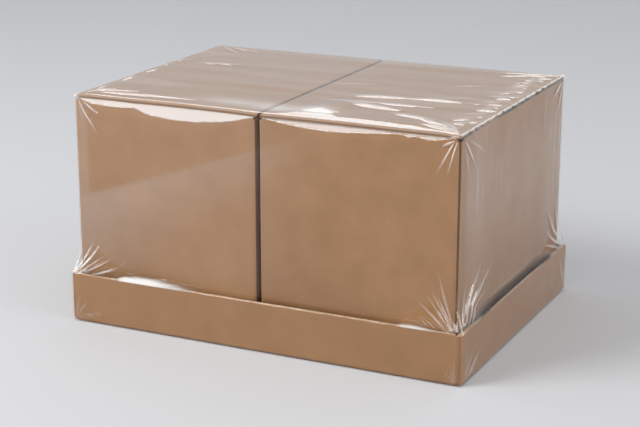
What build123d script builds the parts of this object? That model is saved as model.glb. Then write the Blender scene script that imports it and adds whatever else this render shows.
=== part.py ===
"""Shrink-wrapped bundle: two kraft tuck-top cartons in a shallow corrugated tray, under clear film.

Millimetres, +Z up. X runs along the row of cartons and -Y is the front.
The origin is the middle of the underside.
"""

import math
import os

from build123d import *

# Corrugated tray
TRAY_HEIGHT = 47.0
TRAY_BOARD = 3.0
TRAY_END_CLEARANCE = 1.5
TRAY_SIDE_CLEARANCE = 4.0
TRAY_FOLD_RADIUS = 3.5
TAB_LENGTH = 46.0
TAB_DROP = 1.5
TAB_TAPER = 10.0

# Tuck-top cartons, outside sizes
CARTON_LENGTH = 189.5
CARTON_WIDTH = 278.0
CARTON_HEIGHT = 216.0
CARTON_BOARD = 1.6
CARTON_FOLD_RADIUS = 3.2
CARTON_GAP = 2.0
LID_INSET = 0.8
LID_SLIT = 0.3
FRONT_EDGE_DROP = 3.4
TUCK_LENGTH = 38.0
TUCK_INSET = 7.0
DUST_FLAP_LENGTH = 60.0
CORNER_RELIEF = 0.2

# Clear shrink film
FILM_THICKNESS = 0.1
FILM_CLEARANCE = 0.2
FILM_CARTON_CORNER = 1.6
FILM_TOP_ROUND = 1.0
FILM_TRAY_CORNER = 3.0
FILM_BASE_ROUND = 2.5
FLARE_CORNER_HEIGHT = 42.0
FLARE_MIDDLE_HEIGHT = 24.0
FLARE_POWER = 3.0
FLARE_SPACING_POWER = 1.5
FLARE_STEPS = 5

# Sizes, levels and places that follow from the values above
ROW_LENGTH = 2 * CARTON_LENGTH + CARTON_GAP
TRAY_LENGTH = ROW_LENGTH + 2 * (2 * TRAY_BOARD + TRAY_END_CLEARANCE)
TRAY_WIDTH = CARTON_WIDTH + 2 * (TRAY_BOARD + TRAY_SIDE_CLEARANCE)
TRAY_BASE = FILM_THICKNESS
RIM = TRAY_BASE + TRAY_HEIGHT
CARTON_BASE = TRAY_BASE + TRAY_BOARD
BUNDLE_TOP = CARTON_BASE + CARTON_HEIGHT
CARTON_CENTRE = (CARTON_LENGTH + CARTON_GAP) / 2


def folded_board(path, radius, board):
    """Section of a board bent along a path, which is its outer face: the board lies to the path's left."""
    outer_face = FilletPolyline(*path, radius=radius)
    return make_face(offset(outer_face, amount=board, side=Side.LEFT))


def tray_blank():
    """One die-cut blank: floor, four walls, and the long walls' end tabs glued inside the short walls."""
    half_length = TRAY_LENGTH / 2
    half_width = TRAY_WIDTH / 2
    tab_face = half_length - TRAY_BOARD
    floor_top = TRAY_BASE + TRAY_BOARD
    tab_top = RIM - TAB_DROP

    long_walls_section = folded_board(
        [(-half_width, RIM), (-half_width, TRAY_BASE), (half_width, TRAY_BASE), (half_width, RIM)],
        TRAY_FOLD_RADIUS,
        TRAY_BOARD,
    )
    long_walls = extrude(Plane.YZ * long_walls_section, amount=tab_face - TRAY_FOLD_RADIUS, both=True)

    short_walls_section = folded_board(
        [(-half_length, RIM), (-half_length, TRAY_BASE), (half_length, TRAY_BASE), (half_length, RIM)],
        TRAY_FOLD_RADIUS,
        TRAY_BOARD,
    )
    short_walls = extrude(Plane.XZ * short_walls_section, amount=half_width - TRAY_BOARD, both=True)

    tab_end = -half_width + TAB_LENGTH
    tabbed_wall_plan = folded_board(
        [(-tab_face, tab_end), (-tab_face, -half_width), (tab_face, -half_width), (tab_face, tab_end)],
        TRAY_FOLD_RADIUS,
        TRAY_BOARD,
    )
    front_tabs = extrude(Pos(0, 0, floor_top) * tabbed_wall_plan, amount=tab_top - floor_top)
    free_corners = front_tabs.edges().filter_by(Axis.X).group_by(Axis.Y)[-1].group_by(Axis.Z)[-1]
    front_tabs = chamfer(free_corners, TAB_TAPER)
    back_tabs = mirror(front_tabs, Plane.XZ)
    return long_walls + short_walls + front_tabs + back_tabs


def carton_blank():
    """One folded blank on the XY plane: sleeve, floor, dust flaps and a lid tucked in behind the front."""
    half_length = CARTON_LENGTH / 2
    half_width = CARTON_WIDTH / 2
    dust_flap_top = CARTON_HEIGHT - CARTON_BOARD - LID_SLIT
    panel_inset = CARTON_FOLD_RADIUS + CORNER_RELIEF
    sleeve_top = dust_flap_top - panel_inset
    tuck_face = -half_width + CARTON_BOARD + LID_SLIT

    sleeve_plan = RectangleRounded(CARTON_LENGTH, CARTON_WIDTH, CARTON_FOLD_RADIUS)
    inside_plan = RectangleRounded(
        CARTON_LENGTH - 2 * CARTON_BOARD, CARTON_WIDTH - 2 * CARTON_BOARD, CARTON_FOLD_RADIUS - CARTON_BOARD
    )
    sleeve = extrude(sleeve_plan, amount=sleeve_top)
    sleeve = chamfer(sleeve.edges().group_by(Axis.Z)[0], CARTON_BOARD / 2)
    sleeve -= extrude(Pos(0, 0, CARTON_BOARD) * inside_plan, amount=sleeve_top)

    front_top = CARTON_HEIGHT - FRONT_EDGE_DROP
    front_panel = Pos(0, -half_width, sleeve_top) * Box(
        CARTON_LENGTH - 2 * panel_inset,
        CARTON_BOARD,
        front_top - sleeve_top,
        align=(Align.CENTER, Align.MIN, Align.MIN),
    )

    dust_flap_section = folded_board(
        [
            (half_length, sleeve_top),
            (half_length, dust_flap_top),
            (half_length - DUST_FLAP_LENGTH, dust_flap_top),
        ],
        CARTON_FOLD_RADIUS,
        CARTON_BOARD,
    )
    right_flap = extrude(Plane.XZ * dust_flap_section, amount=half_width - 2 * panel_inset, both=True)
    left_flap = mirror(right_flap, Plane.YZ)

    lid_section = folded_board(
        [
            (half_width, sleeve_top),
            (half_width, CARTON_HEIGHT),
            (tuck_face, CARTON_HEIGHT),
            (tuck_face, CARTON_HEIGHT - TUCK_LENGTH),
        ],
        CARTON_FOLD_RADIUS,
        CARTON_BOARD,
    )
    lid = extrude(Plane.YZ * lid_section, amount=half_length - LID_INSET, both=True)
    beside_tuck = Pos(half_length - TUCK_INSET, tuck_face, CARTON_HEIGHT - CARTON_FOLD_RADIUS) * Box(
        TUCK_INSET,
        2 * CARTON_BOARD,
        TUCK_LENGTH,
        align=(Align.MIN, Align.MIN, Align.MAX),
    )
    lid -= [beside_tuck, mirror(beside_tuck, Plane.YZ)]
    return sleeve + front_panel + right_flap + left_flap + lid


def film_side(start, middle, end):
    """One side of a film section: straight, or drawn in to a middle point between its corners."""
    middle_of_chord = (Vector(*start) + Vector(*end)) / 2
    if (middle_of_chord - Vector(*middle)).length < FILM_THICKNESS / 100:
        return Line(start, end)
    return ThreePointArc(start, middle, end)


def film_section(level, corner, middle, radius):
    """Level face inside the film, from its half length and half width at the corners and midway."""
    (cx, cy), (mx, my) = corner, middle
    bulge = radius * (1 - math.sqrt(0.5))
    quarter = [
        film_side((radius - cx, -cy), (0, -my), (cx - radius, -cy)),
        ThreePointArc((cx - radius, -cy), (cx - bulge, bulge - cy), (cx, radius - cy)),
        film_side((cx, radius - cy), (mx, 0), (cx, cy - radius)),
        ThreePointArc((cx, cy - radius), (cx - bulge, cy - bulge), (cx - radius, cy)),
    ]
    half_turn = Rot(0, 0, 180)
    return Pos(0, 0, level) * make_face(quarter + [half_turn * edge for edge in quarter])


def film_hull(grow):
    """Space inside the film, grown evenly: tight on the tray, drawn in from its rim to the cartons."""
    tray_half = (TRAY_LENGTH / 2 + grow, TRAY_WIDTH / 2 + grow)
    row_half = (ROW_LENGTH / 2 + FILM_CLEARANCE + grow, CARTON_WIDTH / 2 + FILM_CLEARANCE + grow)
    ledge = (tray_half[0] - row_half[0], tray_half[1] - row_half[1])
    rim = RIM + grow

    def half_sizes(share):
        return (row_half[0] + share * ledge[0], row_half[1] + share * ledge[1])

    sections = []
    for step in range(FLARE_STEPS + 1):
        height = FLARE_CORNER_HEIGHT * (step / FLARE_STEPS) ** FLARE_SPACING_POWER
        corner_share = (1 - height / FLARE_CORNER_HEIGHT) ** FLARE_POWER
        middle_share = max(0.0, 1 - height / FLARE_MIDDLE_HEIGHT) ** FLARE_POWER
        radius = FILM_CARTON_CORNER + (FILM_TRAY_CORNER - FILM_CARTON_CORNER) * corner_share + grow
        corner = half_sizes(corner_share)
        middle = half_sizes(middle_share)
        sections.append(film_section(rim + height, corner, middle, radius))

    tray_wrap = extrude(sections[0], amount=-(rim - TRAY_BASE + grow))
    tray_wrap = fillet(tray_wrap.edges().group_by(Axis.Z)[0], FILM_BASE_ROUND + grow)
    carton_wrap = extrude(sections[-1], amount=BUNDLE_TOP + grow - rim - FLARE_CORNER_HEIGHT)
    carton_wrap = fillet(carton_wrap.edges().group_by(Axis.Z)[-1], FILM_TOP_ROUND + grow)
    return tray_wrap + loft(sections) + carton_wrap


tray = tray_blank()
carton = carton_blank()
pieces = {
    "tray": tray,
    "carton_left": Pos(-CARTON_CENTRE, 0, CARTON_BASE) * carton,
    "carton_right": Pos(CARTON_CENTRE, 0, CARTON_BASE) * carton,
    "shrink_film": film_hull(FILM_THICKNESS) - film_hull(0.0),
}

os.makedirs("parts", exist_ok=True)
for name, piece in pieces.items():
    export_step(piece, f"parts/{name}.step")
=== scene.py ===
"""Looks of the shrink-wrapped carton bundle: kraft cartons in a corrugated tray, under creased clear film.

Lengths are in metres, or in mm where a comment says so. They are in the part's own frame: X along the row
of cartons, -Y the front, +Z up.
"""

import math

import bmesh
import bpy
import numpy as np
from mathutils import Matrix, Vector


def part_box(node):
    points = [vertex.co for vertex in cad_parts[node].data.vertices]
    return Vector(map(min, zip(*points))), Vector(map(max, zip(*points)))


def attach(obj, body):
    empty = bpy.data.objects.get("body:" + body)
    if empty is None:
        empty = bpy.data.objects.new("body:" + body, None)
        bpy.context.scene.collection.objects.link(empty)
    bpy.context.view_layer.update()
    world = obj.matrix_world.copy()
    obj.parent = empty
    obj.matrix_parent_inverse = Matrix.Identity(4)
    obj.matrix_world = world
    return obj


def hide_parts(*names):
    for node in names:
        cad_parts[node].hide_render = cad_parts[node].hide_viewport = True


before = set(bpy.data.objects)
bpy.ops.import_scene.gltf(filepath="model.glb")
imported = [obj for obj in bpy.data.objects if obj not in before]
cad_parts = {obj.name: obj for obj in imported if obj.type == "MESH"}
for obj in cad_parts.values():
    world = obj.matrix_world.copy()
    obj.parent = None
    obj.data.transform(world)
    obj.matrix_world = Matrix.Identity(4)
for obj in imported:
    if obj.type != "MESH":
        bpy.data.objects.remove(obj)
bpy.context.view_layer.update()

MM = 0.001
SEED = 11

# Sizes read from the solids
TRAY_X, TRAY_Y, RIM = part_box("tray")[1]
right_low, right_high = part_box("carton_right")
ROW_X, ROW_Y, TOP = right_high
GAP_HALF = right_low.x

# Materials of the boards, in the order of their slots; the fold, lid edge and lid roll slots hold painted
# shade
BOARD, CUT_EDGE, FOLD_PAINTED_SHADE, LID_EDGE_PAINTED_SHADE, LID_ROLL_PAINTED_SHADE = range(5)

# How squarely a face looks along an axis, from nearly level to slanting
LEVEL = 0.9
SQUARE = 0.85
TURNED = 0.35
SLANTED = 0.3

# Faces told apart by their depth below the rim or the top, or by their distance from the row's end
RIM_EDGE_DEPTH = 3 * MM
PANEL_EDGE_DEPTHS = (2.5 * MM, 6 * MM)
LID_EDGE_DEPTH = 3.6 * MM
LID_EDGE_WIDTH = 4 * MM
LID_ROLL_DEPTH = 3.4 * MM

# Cuts that let a carton's front bend, and the angle from which its edges stay sharp
CARTON_WELD = 0.002 * MM
CUT_COLUMNS = 34
CUT_ROWS = 12
CUT_DEPTHS = (20 * MM, 4 * MM)
SHARP_ANGLE = math.radians(28)

# Kraft liner: shares of its three noises, the tones that they span, and its dark flecks
KRAFT_CLOUD = 0.8
KRAFT_MOTTLE = 0.14
KRAFT_FIBRE = 0.06
KRAFT_TONES = (0.34, 0.66)
FIBRE_SCALES = (500, 500, 1600)
FLECK_SCALES = (260, 260, 420)
FLECK_TONES = (0.71, 0.79)
FLECK_STRENGTH = 0.4
FLECK_DARKNESS = 0.5

# Cut edges: the noise's values between which the flutes turn from dark to light; the dark is partly the
# flutes' own tone and partly painted shade in their hollows
FLUTE_TONES = (0.4, 0.62)

# Film as a material: its gloss counts a share of its back face too; its white layer is partly milky film and
# partly painted highlight and reflection, and turns grey where shade is painted
FILM_IOR = 1.5
FILM_GLOSS = 1.5
FILM_ROUGHNESS = 0.05
FILM_VALUES = ("white", "shine", "shade")
MILK_AND_HIGHLIGHT_COLOUR = (0.955, 0.93, 0.9)
PAINTED_SHADE_COLOUR = (0.13, 0.13, 0.13)

# Sockets of a mix node that mixes colours
MIX_COLOURS = (6, 7)
MIX_RESULT = 2

# Film's walls, counted round from the front; u runs along each from its left edge as seen from outside
FRONT, RIGHT, BACK, LEFT = WALLS = range(4)
LONG_WALLS = (FRONT, BACK)

# Film's distance from the boards, its rounds, its lap under the tray and its levels
FILM_OFF = 0.35 * MM
FILM_CARTON_CORNER = 2.2 * MM
FILM_TRAY_CORNER = 3.2 * MM
FILM_TOP_ROUND = 2.2 * MM
FILM_BASE_ROUND = 2.5 * MM
FILM_UNDER_LAP = 55 * MM
FILM_TOP = TOP + FILM_OFF
WALL_TOP = FILM_TOP - FILM_TOP_ROUND
FILM_WELD = 0.004 * MM
LEVEL_TOLERANCE = 0.01 * MM

# Front top edge: the film spans from the front panel's cut edge to the lid's roll
EDGE_DROP = 3.6 * MM
ROLL_RADIUS = 3.2 * MM
ROLL_BACK = 5.1 * MM
ROLL_DROP = 0.8 * MM
# Painted highlight: white on the film over the lid's roll, standing for the lit roll and its reflection
ROLL_HIGHLIGHT = 0.14
ROLL_HIGHLIGHT_DROPS = (2.0 * MM, 1.2 * MM)
PULL_ENDS = (2.5 * MM, 14 * MM)

# Steps of a fan, with one more just above the row where the flare ends in the middle of a wall
FAN_COUNT = 32
FAN_CLOSENESS = 1.3
FLARE_ROW = 2
EXTRA_STEP = 0.0325
FAN_STEPS = np.insert(np.linspace(0, 1, FAN_COUNT) ** FAN_CLOSENESS, FLARE_ROW + 1, EXTRA_STEP)

# Fans are grids of rays at the corners of the walls and of the top, which follow the creases
FAN_LONG = 52 * MM
FAN_SHORT = 72 * MM
FAN_RIM = 58 * MM
FAN_TOP = 48 * MM

# Steps along the walls between the fans, and rows of the other grids
LONG_STEP = 3.2 * MM
SHORT_STEP = 3.4 * MM
UNDER_ROWS = 5
BASE_ROWS = 4
TRAY_ROWS = 18
BETWEEN_ROWS = 14
TURN_ROWS = 7
LAST_ROW_DROP = 0.9 * MM

# Flare of the film from the tray's rim in to the cartons
FLARE_CORNER = 42 * MM
FLARE_MIDDLE = FAN_RIM * FAN_STEPS[FLARE_ROW]
FLARE_SPREAD = 32 * MM
FLARE_SPREAD_POWER = 1.5
FLARE_POWER = 2.8

# Slack film just above the rim is dull, and on the short walls it turns grey there: painted shade of the gap
# between the tray and the cartons
SLACK_SHARE = 0.05
SLACK_RISE = 1.5 * MM
SLACK_DULLING = 0.9
LONG_SLACK_ENDS = (8 * MM, 25 * MM)
SHORT_SLACK_ENDS = (30 * MM, 50 * MM)
PAINTED_SHADE_COVER = 0.5
PAINTED_SHADE_HEIGHT = 11 * MM

# Film over the gap between the cartons dips in on the walls, and is clearer and duller there
GAP_DIP = 1.0 * MM
GAP_DIP_WIDTH = 1.6 * GAP_HALF
GAP_DIP_FOOT = (RIM - 5 * MM, RIM + 15 * MM)
GAP_DIP_HEAD = (TOP, TOP - 15 * MM)
GAP_WIDTH = 3 * MM
GAP_CLEARING = 0.8
GAP_DULLING = 0.65
GAP_DULL_FOOT = (RIM, RIM + 5 * MM)
GAP_DULL_HEAD = (TOP - 10 * MM, TOP - 5 * MM)

# Ripples of the walls, calm near the edges, the rim and the top, and puckers round the top edges
WAVE_PITCHES = (0.6, 1.6)
RIPPLE = 0.12 * MM
STAND_OFF = 0.2 * MM
CALM_EDGE = 12 * MM
CALM_LEVEL = 20 * MM
RELIEF_EDGE = 1.5 * MM
PUCKER = 0.35 * MM
PUCKER_EDGE = 6 * MM

# Painted highlight: a white line along the short walls' top edge, broken where the puckers dip
LINE_HIGHLIGHT = 0.5
LINE_SHARES = (0.2, 0.7)
LINE_BREAKS = (-1.2, -0.5)

# Whiteness of the upright edge at each wall's right end, partly milky film and partly painted highlight,
# full up to a height above the rim
EDGE_MILK_AND_HIGHLIGHT = {FRONT: 0.06, RIGHT: 0.3, BACK: 0.06, LEFT: 0.3}
EDGE_MILK_AND_HIGHLIGHT_HEIGHT = 25 * MM

# Hazy film on the long walls: a strip at the left edge, and a band below a line that slants up from its
# start, which is partly hazy film and partly painted sheen
HAZE_RISE = 25 * MM
EDGE_HAZE = 0.1
EDGE_HAZE_ENDS = (9 * MM, 14 * MM)
SLANT_START = (28 * MM, 131 * MM)
SLANT_RISE = 0.346
SLANT_BLUR = 2 * MM
SLANT_REACH = 70 * MM
SLANT_REACH_FALL = 0.22
SLANT_REACH_LEAST = 20 * MM
SLANT_HAZE_AND_SHEEN = 0.12
SLANT_HAZE_AND_SHEEN_FALL = 0.3
SLANT_FLOOR = 0.03
SLANT_ENDS = (185 * MM, 270 * MM)

# Hazy film and painted sheen on the short walls: bands by whiteness, middle and width, the far end, and a
# mottled upper part
LEVEL_BANDS = [(0.06, 160 * MM, 42 * MM)]
UPRIGHT_BANDS = [(0.05, 42 * MM, 28 * MM), (0.05, 250 * MM, 22 * MM)]
UPRIGHT_LINES = [(0.14, 256 * MM, 2.5 * MM), (0.12, 267 * MM, 2 * MM)]
LINES_MIDDLE = 150 * MM
LINES_REACH = 60 * MM
FAR_HAZE_AND_SHEEN = 0.1
FAR_HAZE_AND_SHEEN_START = (262 * MM, 274 * MM)
MOTTLE = 0.09
NEAR_MOTTLE = 0.1
NEAR_MOTTLE_ENDS = (120 * MM, 40 * MM)
MOTTLE_WAVES = (0.2, 1.6)
MOTTLE_HEIGHTS = (120 * MM, 195 * MM)
SHORT_HAZE_AND_SHEEN_START = (5 * MM, 14 * MM)

# Strips where the film leans up from the rim before it turns in: start, end and height in mm, and the
# whiteness of their painted highlight
STRIPS = {
    FRONT: [(42, 142, 4.4, 0.9), (324, 370, 1.9, 0.6)],
    BACK: [(40, 96, 3.0, 0.7), (250, 330, 4.0, 0.8)],
}
STRIP_TURN = 1.5 * MM
STRIP_FOOT = 1 * MM
STRIP_SLOPE = math.tan(math.radians(21))
STRIP_EARLINESS = 0.65
STRIP_FADE_IN = (0, 0.12)
STRIP_FADE_OUT = (1, 0.35)
STRIP_HIGHLIGHT_ABOVE = 1.0 * MM
STRIP_HIGHLIGHT_BELOW = 0.8 * MM

# Form of a crease: its widest place, its tips, its white core, and the height that is fully white
CREASE_EARLINESS = 0.8
CREASE_FULLNESS = 0.7
CREASE_TIP = 0.3
CREASE_CORE = 0.7
CREASE_WHITE_HEIGHT = 0.8 * MM

# Creases in mm from the upright edge and the level that they fan out from: start, end, half width, height
RIM_FRONT_LEFT = [
    (2, 5, 18, 42, 1.4, 0.8),
    (4, 3, 23, 32, 2.2, 1.1),
    (5, 4, 33, 50, 1.2, 0.3),
    (10, 5, 32, 25, 1.5, 0.4),
    (9, 1, 37, 19, 2.0, 1.0),
    (20, 1, 44, 10, 2.2, 1.0),
    (41, 10, 56, 21, 1.6, 0.3),
]
RIM_FRONT_RIGHT = [
    (3, 4, 17.2, 54, 1.9, 0.5),
    (4, 5, 18.2, 33, 1.3, 0.9),
    (5, 3, 23.7, 37, 1.9, 0.45),
    (6, 2, 28.7, 32, 1.5, 0.4),
    (9, 1, 27.2, 17.5, 1.1, 0.8),
    (10, 8, 19, 16.5, 1.0, 0.6),
    (10, 2, 38.2, 25, 2.2, 0.45),
    (21, 3, 30, 8.5, 1.0, 0.6),
    (27, 3, 34, 8, 1.0, 0.5),
]
RIM_END_NEAR = [
    (3, 3, 17, 44, 2.4, 0.7),
    (8, 4, 29, 39, 3.0, 1.0),
    (6, 4, 56, 52, 4.0, 1.4),
    (10, 2, 42, 46, 2.6, 0.8),
    (11, 2, 85, 41, 4.2, 1.3),
    (15, 3, 60, 34, 2.8, 0.9),
    (18, 1, 72, 20, 2.8, 0.7),
]
RIM_END_FAR = [
    (2, 2, 13, 44, 5.0, 1.6),
    (4, 2, 38, 46, 4.5, 1.5),
    (10, 1, 40, 26, 3.5, 0.8),
    (14, 1, 50, 14, 3.0, 0.6),
]
TOP_FRONT_LEFT = [
    (2, 3, 24, 34, 2.2, 1.2),
    (4, 4, 20, 28, 1.1, 0.5),
    (8, 3, 26, 16, 2.2, 1.1),
    (2, 4, 11, 33, 1.1, 0.4),
]
TOP_FRONT_RIGHT = [
    (4, 3, 16, 9, 1.3, 0.7),
    (3, 2, 21, 34, 1.4, 0.8),
    (1, 2, 10.5, 34, 1.1, 0.7),
]
TOP_END_NEAR = [
    (4, 1, 34, 34, 2.6, 0.9),
    (4, 5, 20, 46, 2.0, 0.5),
    (12, 3, 60, 26, 3.4, 0.4),
]
TOP_END_FAR = [
    (4, 1, 38, 15, 3.4, 0.8),
    (2, 2, 24, 33, 3.2, 0.9),
    (1, 3, 8, 46, 2.4, 0.7),
]
TRAY_FRONT_LEFT = [(1, 5, 8, 29, 1.6, 0.35), (1, 4, 17, 24, 1.8, 0.4), (1, 4, 38, 13, 2.2, 0.3)]
TRAY_FRONT_RIGHT = [(1.6, 1, 9, 22, 1.4, 0.35), (1.6, 1, 16, 16, 1.4, 0.35), (2, 1, 5, 30, 1.1, 0.25)]
TRAY_END_NEAR = [(8, 3, 42, 22, 4.0, 0.7), (4, 2, 24, 30, 3.0, 0.5), (3, 3, 14, 36, 2.4, 0.4)]
TRAY_END_FAR = [(2, 3, 22, 40, 3.4, 0.7), (1, 5, 8, 40, 2.6, 0.6)]

# Creases at the left and right edges of each wall, for each level, and how white they are: partly milky
# gathered film, partly painted highlight
WALL_CREASES = {
    "rim": {
        FRONT: (RIM_FRONT_LEFT, RIM_FRONT_RIGHT),
        RIGHT: (RIM_END_NEAR, RIM_END_FAR),
        BACK: (RIM_FRONT_RIGHT, RIM_FRONT_LEFT),
        LEFT: (RIM_END_FAR, RIM_END_NEAR),
    },
    "top": {
        FRONT: (TOP_FRONT_LEFT, TOP_FRONT_RIGHT),
        RIGHT: (TOP_END_NEAR, TOP_END_FAR),
        BACK: (TOP_FRONT_RIGHT, TOP_FRONT_LEFT),
        LEFT: (TOP_END_FAR, TOP_END_NEAR),
    },
    "tray": {
        FRONT: (TRAY_FRONT_LEFT, TRAY_FRONT_RIGHT),
        RIGHT: (TRAY_END_NEAR, TRAY_END_FAR),
        BACK: (TRAY_FRONT_RIGHT, TRAY_FRONT_LEFT),
        LEFT: (TRAY_END_FAR, TRAY_END_NEAR),
    },
}
CREASE_MILK_AND_HIGHLIGHT = {"rim": 0.6, "top": 0.75, "tray": 0.5, "sheet": 0.5, "tick": 0.5}

# How white the film is at the top corners, by their signs along X and Y: partly milky gathered film, partly
# painted highlight
CORNER_MILK_AND_HIGHLIGHT = {(-1, -1): 0.5, (1, 1): 1.0, (-1, 1): 0.3}
KNOB_SIZE = 5 * MM
KNOB_HEIGHT = 1.6 * MM

# Creases of the top sheet in mm: start and end in plan, half width and height
SHEET_SHARPNESS = 1.6
SHEET_EDGE = 3.5 * MM
SHEET_CREASES = [
    (40, -34, 108, -20, 8.0, 1.0),
    (98, -21, 152, -19, 8.0, 1.0),
    (116, -12, 158, 0, 5.0, 0.5),
    (147, -24, 166, -16, 4.0, 0.5),
    (24, -60, 142, -48, 7.0, 0.8),
    (46, -62, 114, -74, 10.0, 1.1),
    (102, -86, 156, -97, 8.0, 1.0),
    (130, -90, 187, -135, 8.0, 1.1),
    (187, -135, 152, -92, 5.0, 0.8),
    (186, -132, 140, -116, 5.0, 0.8),
    (111, 41, 145, 57, 5.0, 0.6),
    (5, 7, 48, 21, 6.0, 0.4),
    (-187, -124, -165, -105, 3.5, 0.7),
    (-189, -127, -136, -101, 3.5, 0.7),
    (-172, -126, -104, -119, 4.5, 0.6),
    (-149, -122, -64, -118, 4.0, 0.6),
    (-165, 40, -108, 49, 6.0, 0.8),
    (-191, 42, -167, 53, 4.0, 0.6),
    (-178, 69, -157, 83, 4.0, 0.5),
    (186, 134, 120, 100, 4.5, 0.6),
    (186, 136, 104, 118, 4.0, 0.6),
    (-186, 135, -110, 104, 4.5, 0.6),
    (-186, 134, -140, 92, 4.0, 0.5),
]

# Short puckers at the top sheet's side edges: where each row of them starts and ends in mm
RIGHT_TICK_PLACES = (-100, 132)
LEFT_TICK_PLACES = (-112, 60)

# Ranges in mm that a pucker's start, half width, height, length, drift and spacing are drawn from
RIGHT_TICK_RANGES = [(177, 188), (4, 7), (0.4, 0.9), (14, 30), (5, 12), (5, 10)]
LEFT_TICK_RANGES = [(-187, -182), (3, 4.5), (0.5, 0.9), (14, 36), (0, 6), (3, 12)]

# Top sheet: ripples, and the dip over the gap between the cartons
TOP_RIPPLE = 0.14 * MM
TOP_STAND_OFF = 0.25 * MM
TOP_CALM_EDGE = 12 * MM
TOP_GAP_DIP = 0.25 * MM
TOP_GAP_WIDTH = 2 * GAP_HALF
TOP_GAP_CLEARING = 0.7
TOP_GAP_DULLING = 0.4
TOP_GAP_DULL_WIDTH = 1.5 * GAP_HALF

# White patches of the top sheet, partly milky film and partly painted reflection: whiteness, then place and
# size in mm along the row and across it
TOP_PATCHES = [(0.32, -40, 36, -108, 16), (0.4, 6, 20, -114, 17), (0.5, 45, 19, -113, 15)]

# White strip behind the front edge, by shares of the swelling's width, and streaks of the top sheet; the
# strip and streaks are partly milky film and partly painted highlight
FRONT_STRIP_MILK_AND_HIGHLIGHT = 0.45
FRONT_STRIP_SHARES = (1.3, 0.7)
FRONT_STRIP_START = (20 * MM, 65 * MM)
TOP_HAZE = 0.01
STREAK_MILK_AND_HIGHLIGHT = 0.07
TICK_HAZE_AND_HIGHLIGHT = 0.14
TICK_HAZE_AND_HIGHLIGHT_START = (135 * MM, 172 * MM)
STREAK_WAVES = (0, 1.4)

# Swelling of the top sheet behind the front edge, in mm: place along the row and width of the slope
SWELL_WIDTHS = [
    (-190, 1.2), (-120, 1.6), (-15, 1.6), (12, 2), (22, 4), (30, 20), (44, 32),
    (58, 22), (68, 7), (85, 9), (110, 8), (150, 4), (190, 1.5),
]
SWELL_SLOPE = 0.075
SWELL_BACK = 60 * MM
SWELL_END = 10 * MM

# Lenses below the top edge, where the film pulls the front panels back; its own ragged edge is in mm, and
# the white on the film within it is painted highlight
LENSES = {
    "carton_left": {
        "peak": 0.66,
        "depth": 16 * MM,
        "roundness": 0.5,
        "highlight_from": 2.6 * MM,
        "milk_and_painted_light": 0.44,
        "edge": [
            (0, 2), (15, 6.8), (37, 8.5), (55, 8.3), (63, 7), (73, 10.8), (83, 13.1), (94, 13.6),
            (109, 14.8), (130, 14.1), (152, 11.8), (167, 9.3), (181, 5.3), (190, 3),
        ],
    },
    "carton_right": {
        "peak": 0.40,
        "depth": 11.8 * MM,
        "roundness": 0.45,
        "highlight_from": 2.5 * MM,
        "milk_and_painted_light": 0.3,
        "edge": [
            (0, 2.5), (20, 6.1), (42, 8.2), (65, 9.4), (82, 8.7), (99, 7.5), (123, 5.7), (136, 4.5),
            (142, 7), (150, 4.5), (158, 7), (172, 5.5), (178, 3.5), (190, 2),
        ],
    },
}
LENS_HIGHLIGHT_RISE = 0.8 * MM
LENS_BLUR_OUT = 0.2 * MM
LENS_BLUR_IN = 1.0 * MM
LENS_ENDS = (1 * MM, 6 * MM)
LEAN_SLOPE = math.tan(math.radians(14))
LEAN_FROM = 14 * MM
LEAN_TO = 40 * MM

# Studio floor and world
FLOOR_HALF = 9
FLOOR_DROP = 0.3 * MM
FLOOR_COLOUR = (0.65, 0.655, 0.67)
WORLD_COLOUR = (0.97, 0.98, 1.0)
WORLD_STRENGTH = 0.62

# Softboxes: place, target, size, radiance, and whether matt surfaces see them
SOFTBOXES = {
    "key_box": ((-1.45, -1.5, 1.85), (0, 0, 0.1), (1.35, 1.35), 7.6, True),
    "fill_box": ((2.6, -0.2, 1.2), (0, 0, 0.1), (1.5, 1.5), 2.0, True),
    "top_box": ((0.4, 0.3, 2.6), (0, 0, 0.1), (1.6, 1.6), 0.4, True),
    "lens_gloss": ((-0.7, -1.5, 0.56), (-0.05, 0, 0.2), (1.8, 0.26), 8.5, False),
    "near_gloss": ((0.85, -1.5, 0.28), (0.1, 0, 0.08), (0.9, 0.3), 9.0, False),
    "left_gloss": ((-1.7, -0.6, 0.32), (0, 0, 0.1), (1.0, 0.5), 9.0, False),
    "right_gloss": ((1.6, 0.6, 0.38), (0, 0, 0.1), (1.2, 0.6), 6.0, False),
    "rear_gloss": ((-1.16, 2.43, 0.75), (0, 0, 0.2), (2.4, 0.5), 0.06, False),
    "back_gloss": ((-0.8, 2.0, 1.46), (0, 0, 0.2), (2.4, 0.95), 2.2, False),
}

# Camera: its place, its tilt below level and its turn from the front in degrees, and its lens
CAMERA_PLACE = (0.6585, -1.3826, 0.5389)
CAMERA_TILT = 16.26
CAMERA_TURN = 25.67
CAMERA_LENS = 92.7
CAMERA_SENSOR = 36


def smooth(edge_low, edge_high, value):
    """Smooth step from 0 at edge_low to 1 at edge_high."""
    t = np.clip((value - edge_low) / (edge_high - edge_low), 0, 1)
    return t * t * (3 - 2 * t)


def bell(value, middle, width):
    """1 at the middle, falling off over the width."""
    return np.exp(-(((value - middle) / width) ** 2))


def bands(value, rows):
    """Sum of bells, each with its height, middle and width."""
    return sum(height * bell(value, middle, width) for height, middle, width in rows)


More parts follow.
